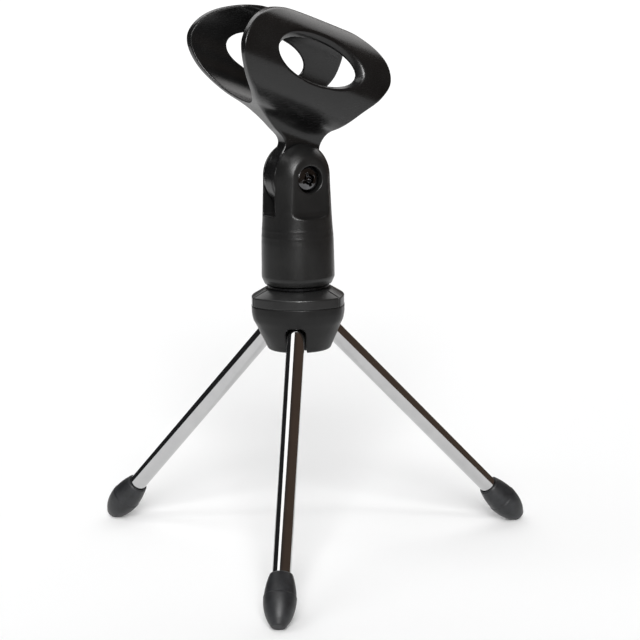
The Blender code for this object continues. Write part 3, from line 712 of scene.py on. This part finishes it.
def hermite(x, y, i, t):
    """Value of a smooth curve through (x, y) at share t of span i."""
    slopes = np.gradient(y, x)
    span = x[i + 1] - x[i]
    a = (2 * t**3 - 3 * t**2 + 1) * y[i] + (t**3 - 2 * t**2 + t) * span * slopes[i]
    b = (3 * t**2 - 2 * t**3) * y[i + 1] + (t**3 - t**2) * span * slopes[i + 1]
    return a + b


def smooth_levels(levels, per_span=8):
    """Finer levels on a smooth curve through the given (height, side, corner) levels."""
    table = np.array(sorted(levels))
    heights = table[:, 0]
    fine = []
    for i in range(len(table) - 1):
        for k in range(per_span):
            z = heights[i] + (heights[i + 1] - heights[i]) * k / per_span
            fine.append((z, *(hermite(heights, table[:, c], i, k / per_span) for c in (1, 2))))
    fine.append(tuple(table[-1]))
    return fine


BOWL_LEVELS = [
    (HUB_SEAM_Z, HUB_SIDE_RADIUS, HUB_CORNER_RADIUS),
    (0.0836, 0.01475, 0.0166),
    (0.0818, 0.0144, 0.0161),
    (0.0800, 0.0137, 0.0150),
    (0.0770, 0.0126, 0.0135),
    (0.0736, 0.0112, 0.0117),
    (HUB_BOTTOM_Z, 0.0104, 0.0107),
]


def leg_slot_outline():
    """Outline of a leg's slot seen from the side, as (outward, up)."""
    radius, height = leg_point(LEG_PIN_REACH)
    clear = LEG_RADIUS + GAP
    run_out = 0.02
    end = math.degrees(LEG_SPREAD) - math.degrees(math.acos(clear / SLOT_SWING_RADIUS))
    outline = arc((radius, height), SLOT_SWING_RADIUS, SLOT_SWING_RADIUS, 180.0, end, 20)
    far, low = leg_point(LEG_PIN_REACH + run_out)
    far += clear * math.cos(LEG_SPREAD)
    low += clear * math.sin(LEG_SPREAD)
    below = HUB_BOTTOM_Z - run_out
    return outline + [(far, low), (far, below), (radius - SLOT_SWING_RADIUS, below)]


def make_hub_bowl():
    """Lower half of the hub, with a slot and a pin pocket for each leg."""
    levels = smooth_levels(BOWL_LEVELS)
    slot_side = plane_field(leg_slot_outline(), margin=0.008)
    pin_radius, pin_height = leg_point(LEG_PIN_REACH)
    clear = LEG_RADIUS + GAP
    upright_edge = 0.0008
    bottom_edge = 0.0006
    arch_rounding = 0.0020
    side_slope = 0.9                      # makes up for the lean of the sides

    def field(x, y, z):
        side, corner = by_height(levels, z)
        body = rounded_triangle(x, y, side, corner, upright_edge) * side_slope
        body = rounded_and(body, HUB_BOTTOM_Z - z, bottom_edge)
        body = rounded_and(body, z - HUB_SEAM_Z + SEAM_GAP / 2, SEAM_EDGE)
        for azimuth in LEG_AZIMUTHS.values():
            angle = math.radians(azimuth)
            out = x * math.cos(angle) + y * math.sin(angle)
            aside = np.abs(y * math.cos(angle) - x * math.sin(angle))
            slot = rounded_and(slot_side(out, z), aside - clear, arch_rounding)
            body = rounded_and(body, -slot, EDGE_FINE)
            pin = np.maximum(np.abs(out - pin_radius) - PIN_POCKET_RADIUS, aside - PIN_POCKET_HALF)
            body = np.maximum(body, -np.maximum(pin, pin_height - PIN_POCKET_RADIUS - z))
        middle = np.hypot(x, y)
        body = np.maximum(body, -np.maximum(middle - HUB_BORE, HUB_BORE_FLOOR_Z - z))
        body = np.maximum(body, SCREW_HOLE - middle)
        recess = np.maximum(middle - HEAD_RECESS_RADIUS, z - HEAD_RECESS_TOP_Z)
        return rounded_and(body, -recess, EDGE_FINE)

    low = (-0.0172, -0.0172, 0.0710)
    high = (0.0172, 0.0172, 0.0869)
    mesh = solid_mesh("hub_bowl_moulding", field, low, high, GRID_MEDIUM)
    place("hub_bowl_moulding", mesh, HUB, "hub", HUB_PLASTIC, ["hub_bowl"])


def make_hub_cap():
    """Upper half of the hub: a short wall, a sloping top and a fine groove to each corner."""
    rim_side = HUB_SIDE_RADIUS + CAP_OVERHANG
    rim_corner = HUB_CORNER_RADIUS + CAP_OVERHANG
    slope_levels = [
        (HUB_RIM_Z, rim_side, rim_corner),
        (HUB_TOP_Z, 0.0112, 0.0115),
        (HUB_TOP_Z + 0.001, 0.0096, 0.0096),
    ]
    upright_edge = 0.0007
    rim_edge = 0.0004
    inner_edge = 0.0002
    slope_steepness = 0.5                 # makes up for the flatness of the sloping top
    groove_half = 0.00022
    groove_depth = 0.00035
    groove_start = 0.0113
    groove_edge = 0.00012
    hollow_middle = 0.0100
    hollow_half = 0.0025
    roof = 0.0005

    def field(x, y, z):
        wall = rounded_triangle(x, y, rim_side, rim_corner, upright_edge)
        side, corner = by_height(slope_levels, z)
        slope = rounded_triangle(x, y, side, corner, rim_edge) * slope_steepness
        body = rounded_and(wall, slope, rim_edge)
        body = rounded_and(body, z - HUB_TOP_Z, inner_edge)
        body = rounded_and(body, HUB_SEAM_Z + SEAM_GAP / 2 - z, SEAM_EDGE)
        for azimuth in LEG_AZIMUTHS.values():
            angle = math.radians(azimuth + 60.0)
            out = x * math.cos(angle) + y * math.sin(angle)
            aside = np.abs(y * math.cos(angle) - x * math.sin(angle))
            groove = np.maximum(aside - groove_half, groove_start - out)
            groove = np.maximum(groove, -slope - groove_depth)
            body = rounded_and(body, -groove, groove_edge)
        middle = np.hypot(x, y)
        hollow = np.maximum(np.abs(middle - hollow_middle) - hollow_half, z - HUB_RIM_Z + roof)
        body = np.maximum(body, -hollow)
        return rounded_and(body, HUB_BORE - middle, inner_edge)

    low = (-0.0174, -0.0174, 0.0865)
    high = (0.0174, 0.0174, 0.0922)
    mesh = solid_mesh("hub_cap_moulding", field, low, high, GRID_FINE)
    # The cap's lighter colour is painted reflection of the light its sloping top catches.
    place("hub_cap_moulding", mesh, HUB, "hub", CAP_PLASTIC_PAINTED_REFLECTION, ["hub_cap"])


# ---------------------------------------------------------------- legs

BOOT_MOUTH_REACH = 0.1044
BOOT_WIDEST_REACH = 0.1120
BOOT_TIP_REACH = 0.1220
BOOT_RADIUS = 0.00525
BOOT_MOUTH_RADIUS = 0.0037
BOOT_TIP_RADIUS = 0.0017


def make_leg_tube(name, azimuth):
    """Chromed tube with a closed, domed end that turns in the hub's slot."""
    wall = 0.0008
    clearance = 0.00015                   # between the domed end and the slot it swings in
    dome = SLOT_SWING_RADIUS - clearance
    ring = 0.00015                        # spacing of the rings that keep the shading straight
    shoulder = math.degrees(math.acos(LEG_RADIUS / dome))
    bottom = LEG_PIN_REACH - LEG_TUBE_REACH
    end = arc((0.0, 0.0), dome, dome, 90.0, shoulder, 12)
    profile = end + [
        (LEG_RADIUS, end[-1][1] - ring),
        (LEG_RADIUS, end[-1][1] - 2 * ring),
        (LEG_RADIUS, bottom + 2 * ring),
        (LEG_RADIUS, bottom),
        (LEG_RADIUS - wall, bottom),
        (LEG_RADIUS - wall, 0.0),
        (0.0, 0.0),
    ]
    mesh = lathe_mesh("chromed_tube_" + name, profile)
    place("chromed_tube_" + name, mesh, leg_frame(azimuth), "leg_" + name, CHROME,
          ["leg_tube_" + name])


def boot_profile():
    """Outer side from the tip back to the mouth, as (radius, reach) along the leg."""
    blend = 0.0009
    tip_length = 0.0012
    past_tip = 0.0006                     # the belly's curve would close this far beyond the tip
    lip = 0.00018
    taper_power = 1.8
    points = [(0.0, BOOT_TIP_REACH)]
    points += arc((BOOT_TIP_RADIUS, BOOT_TIP_REACH - blend), blend, blend, 90.0, 30.0, 6)
    belly_start = BOOT_TIP_REACH - tip_length
    belly_length = BOOT_TIP_REACH + past_tip - BOOT_WIDEST_REACH
    steps = 24
    for i in range(steps + 1):
        reach = belly_start + (BOOT_WIDEST_REACH - belly_start) * i / steps
        along = (reach - BOOT_WIDEST_REACH) / belly_length
        points.append((BOOT_RADIUS * math.sqrt(1.0 - along * along), reach))
    points.append((BOOT_RADIUS - lip, BOOT_WIDEST_REACH - lip))
    steps = 20
    for i in range(1, steps + 1):
        share = i / steps
        radius = BOOT_RADIUS - lip - (BOOT_RADIUS - lip - BOOT_MOUTH_RADIUS) * share**taper_power
        points.append((radius, BOOT_WIDEST_REACH - (BOOT_WIDEST_REACH - BOOT_MOUTH_REACH) * share))
    return points


def make_boot(name, azimuth):
    """Egg-shaped rubber boot, open at the tube's end and pressed flat on the table."""
    bore = LEG_RADIUS + GAP * 0.3         # a close fit on the tube
    mouth_bevel = 0.00015
    inside = [(0.0, LEG_TUBE_REACH + GAP), (bore, LEG_TUBE_REACH + GAP), (bore, BOOT_MOUTH_REACH)]
    mouth = [(BOOT_MOUTH_RADIUS - mouth_bevel, BOOT_MOUTH_REACH)]
    profile = [(radius, LEG_PIN_REACH - reach)
               for radius, reach in inside + mouth + list(reversed(boot_profile()))]
    mesh = lathe_mesh("rubber_boot_" + name, profile)
    matrix = leg_frame(azimuth)
    press_on_table(mesh, matrix)
    place("rubber_boot_" + name, mesh, matrix, "leg_" + name, RUBBER, ["leg_boot_" + name])


def press_on_table(mesh, matrix):
    """Flatten what would lie below the table."""
    back = matrix.inverted()
    for vertex in mesh.vertices:
        spot = matrix @ vertex.co
        if spot.z < 0.0:
            spot.z = 0.0
            vertex.co = back @ spot


# ---------------------------------------------------------------- hardware


def make_pivot_screw():
    """Pan head screw with a cross recess, along +Z and turned to an odd angle."""
    rim = HEAD_SEAT + 0.0016
    crown = 0.0011
    rim_bevel = 0.0001
    end = -0.0090
    shank = 0.0020
    arm_length = 0.0024                   # the recess narrows as it goes down
    arm_taper = 0.55
    arm_half_width = 0.00042
    middle_radius = 0.0011
    middle_taper = 0.25
    recess_depth = 0.0017
    recess_edge = 0.00012
    head = [(0.0, rim + crown)] + arc((0.0, rim), SCREW_HEAD_RADIUS, crown, 84.0, 0.0, 16)
    side = head + [
        (SCREW_HEAD_RADIUS - rim_bevel, HEAD_SEAT),
        (shank, HEAD_SEAT),
        (shank, end),
        (0.0, end),
    ]
    mirror = [(-radius, height) for radius, height in reversed(side[1:-1])]
    outline = plane_field(side + mirror)
    turn = math.radians(20.0)

    def field(x, y, z):
        body = outline(np.hypot(x, y), z)
        u = np.abs(x * math.cos(turn) + y * math.sin(turn))
        v = np.abs(y * math.cos(turn) - x * math.sin(turn))
        depth = rim + crown - z
        reach = arm_length - arm_taper * depth
        first = np.maximum(u - reach, v - arm_half_width)
        second = np.maximum(v - reach, u - arm_half_width)
        middle = np.hypot(u, v) - middle_radius + middle_taper * depth
        cross = rounded_or(np.minimum(first, second), middle, EDGE_FINE)
        recess = np.maximum(cross, depth - recess_depth)
        return rounded_and(body, -recess, recess_edge)

    low = (-0.0043, -0.0043, -0.0093)
    high = (0.0043, 0.0043, 0.0081)
    mesh = solid_mesh("pan_head_screw", field, low, high, GRID_FINEST)
    place("pan_head_screw", mesh, PIVOT @ ALONG_SCREW, "fork", SCREW_STEEL, ["pivot_screw"])


def dress_cad_nodes():
    """Finer materials for the CAD solids that are kept as they are."""
    finishes = {
        "thread_stud": BLACK_STEEL,
        "hub_screw": BLACK_STEEL,
        "hub_screw_washer": PLAIN_STEEL,
        "pivot_nut": PLAIN_STEEL,
        "thread_insert": BRASS,
        "friction_washer_screw_side": RUBBER,
        "friction_washer_nut_side": RUBBER,
    }
    for name in LEG_AZIMUTHS:
        finishes["leg_pin_" + name] = PLAIN_STEEL
    for node, material in finishes.items():
        item = frame["nodes"][node]
        for slot in item.material_slots:
            slot.material = material


# ---------------------------------------------------------------- stage, light and camera

MIDDLE = (0.0, 0.0, 0.10)             # the panels face this point
FILL_LEVEL = 0.14                     # even light that matt surfaces get from all round
BACKDROP_LEVEL = 1.1                  # what the camera sees behind the table
ROOM_LEFT = (0.022, 0.022, 0.023)     # what glossy surfaces see of the room
ROOM_RIGHT = (0.085, 0.060, 0.046)


def make_floor():
    """White paper on the table, seen against the white backdrop."""
    left, right, front, back = -0.62, 0.38, -0.30, 0.90
    mesh = bpy.data.meshes.new("floor")
    corners = [(left, front, 0.0), (right, front, 0.0), (right, back, 0.0), (left, back, 0.0)]
    mesh.from_pydata(corners, [], [(0, 1, 2, 3)])
    item = bpy.data.objects.new("floor", mesh)
    bpy.context.scene.collection.objects.link(item)
    n = Nodes("white_paper")
    n.set(Base_Color=(0.94, 0.94, 0.94), Roughness=0.9, Specular_IOR_Level=0.0)
    item.data.materials.append(n.material)


def direction(azimuth, elevation):
    """Unit vector; the azimuth is counted from +X towards +Y, both in degrees."""
    across = math.cos(math.radians(elevation))
    x = across * math.cos(math.radians(azimuth))
    y = across * math.sin(math.radians(azimuth))
    return Vector((x, y, math.sin(math.radians(elevation))))


def add_panel(name, azimuth, elevation, distance, width, height, power, colour=(1.0, 1.0, 1.0)):
    """Rectangular softbox that faces the object."""
    light = bpy.data.lights.new(name, "AREA")
    light.shape = "RECTANGLE"
    light.size = width
    light.size_y = height
    light.energy = power
    light.color = colour
    item = bpy.data.objects.new(name, light)
    bpy.context.scene.collection.objects.link(item)
    item.location = Vector(MIDDLE) + direction(azimuth, elevation) * distance
    item.rotation_euler = (-direction(azimuth, elevation)).to_track_quat("-Z", "Y").to_euler()
    item.visible_camera = False


def add_background(tree, colour, strength):
    """One even background, to be mixed with others."""
    node = tree.nodes.new("ShaderNodeBackground")
    node.inputs["Color"].default_value = (*colour, 1.0)
    node.inputs["Strength"].default_value = strength
    return node


def make_world():
    """White backdrop that lights evenly, while glossy surfaces see the dim room round the table."""
    blend_half = 0.6                      # the walls blend this far to either side of the middle
    world = bpy.data.worlds.new("studio")
    bpy.context.scene.world = world
    world.use_nodes = True
    tree = world.node_tree
    tree.nodes.clear()
    fill = add_background(tree, (1.0, 1.0, 1.0), FILL_LEVEL)
    seen = add_background(tree, (1.0, 1.0, 1.0), BACKDROP_LEVEL)
    room = add_background(tree, (1.0, 1.0, 1.0), 1.0)
    coordinate = tree.nodes.new("ShaderNodeTexCoord")
    split = tree.nodes.new("ShaderNodeSeparateXYZ")
    tree.links.new(coordinate.outputs["Generated"], split.inputs["Vector"])
    side = tree.nodes.new("ShaderNodeMapRange")
    side.interpolation_type = "SMOOTHSTEP"
    side.inputs["From Min"].default_value = -blend_half
    side.inputs["From Max"].default_value = blend_half
    tree.links.new(split.outputs["X"], side.inputs["Value"])
    walls = tree.nodes.new("ShaderNodeMix")
    walls.data_type = "RGBA"
    tree.links.new(side.outputs["Result"], walls.inputs["Factor"])
    walls.inputs[6].default_value = (*ROOM_LEFT, 1.0)
    walls.inputs[7].default_value = (*ROOM_RIGHT, 1.0)
    tree.links.new(walls.outputs[2], room.inputs["Color"])
    path = tree.nodes.new("ShaderNodeLightPath")
    glossy = tree.nodes.new("ShaderNodeMixShader")
    tree.links.new(path.outputs["Is Glossy Ray"], glossy.inputs["Fac"])
    tree.links.new(fill.outputs["Background"], glossy.inputs[1])
    tree.links.new(room.outputs["Background"], glossy.inputs[2])
    direct = tree.nodes.new("ShaderNodeMixShader")
    tree.links.new(path.outputs["Is Camera Ray"], direct.inputs["Fac"])
    tree.links.new(glossy.outputs["Shader"], direct.inputs[1])
    tree.links.new(seen.outputs["Background"], direct.inputs[2])
    output = tree.nodes.new("ShaderNodeOutputWorld")
    tree.links.new(direct.outputs["Shader"], output.inputs["Surface"])


def add_sun(name, azimuth, elevation, spread, strength):
    """Round, far softbox; the spread is how wide it looks, in degrees."""
    light = bpy.data.lights.new(name, "SUN")
    light.angle = math.radians(spread)
    light.energy = strength
    item = bpy.data.objects.new(name, light)
    bpy.context.scene.collection.objects.link(item)
    item.rotation_euler = (-direction(azimuth, elevation)).to_track_quat("-Z", "Y").to_euler()


def make_lights():
    """A tall softbox by the camera, a strip above it, one high on the left and one behind."""
    for number, elevation in enumerate((19.0, 33.0)):
        add_sun(f"key_softbox_{number + 1}", -84.5, elevation, 23.0, 1.85)
    add_panel("front_strip", -98.0, 58.0, 2.2, 1.9, 0.22, 7.5)
    add_panel("top_softbox", 195.0, 61.0, 2.4, 1.17, 1.25, 9.0)
    add_panel("back_softbox", 92.0, 38.0, 2.4, 3.6, 1.4, 23.0)


def make_camera():
    """Long lens, a little above the object and looking slightly down."""
    lens = 129.0
    sensor_width = 36.0
    distance = 0.7542
    height = 0.2273
    pitch, yaw, roll = 0.1921, 0.0093, 0.0170
    swing = 5.51
    ahead = Vector((
        math.sin(yaw) * math.cos(pitch),
        math.cos(yaw) * math.cos(pitch),
        -math.sin(pitch),
    ))
    right = Vector((math.cos(yaw), -math.sin(yaw), 0.0))
    down = ahead.cross(right)
    rolled_right = math.cos(roll) * right + math.sin(roll) * down
    rolled_down = math.cos(roll) * down - math.sin(roll) * right
    turned = Matrix((rolled_right, -rolled_down, -ahead)).transposed().to_4x4()
    turned.translation = (0.0, -distance, height)
    camera = bpy.data.cameras.new("camera")
    camera.lens = lens
    camera.sensor_width = sensor_width
    camera.clip_start = 0.01
    item = bpy.data.objects.new("camera", camera)
    bpy.context.scene.collection.objects.link(item)
    item.matrix_world = HUB @ turn_z(swing) @ turned
    bpy.context.scene.camera = item


# ---------------------------------------------------------------- assembly

make_mic_clip()
make_clip_base()
make_hub_bowl()
make_hub_cap()
make_pivot_screw()
for leg_name, leg_azimuth in LEG_AZIMUTHS.items():
    make_leg_tube(leg_name, leg_azimuth)
    make_boot(leg_name, leg_azimuth)
dress_cad_nodes()
make_floor()
make_world()
make_lights()
make_camera()
bpy.context.scene.view_settings.view_transform = "Standard"
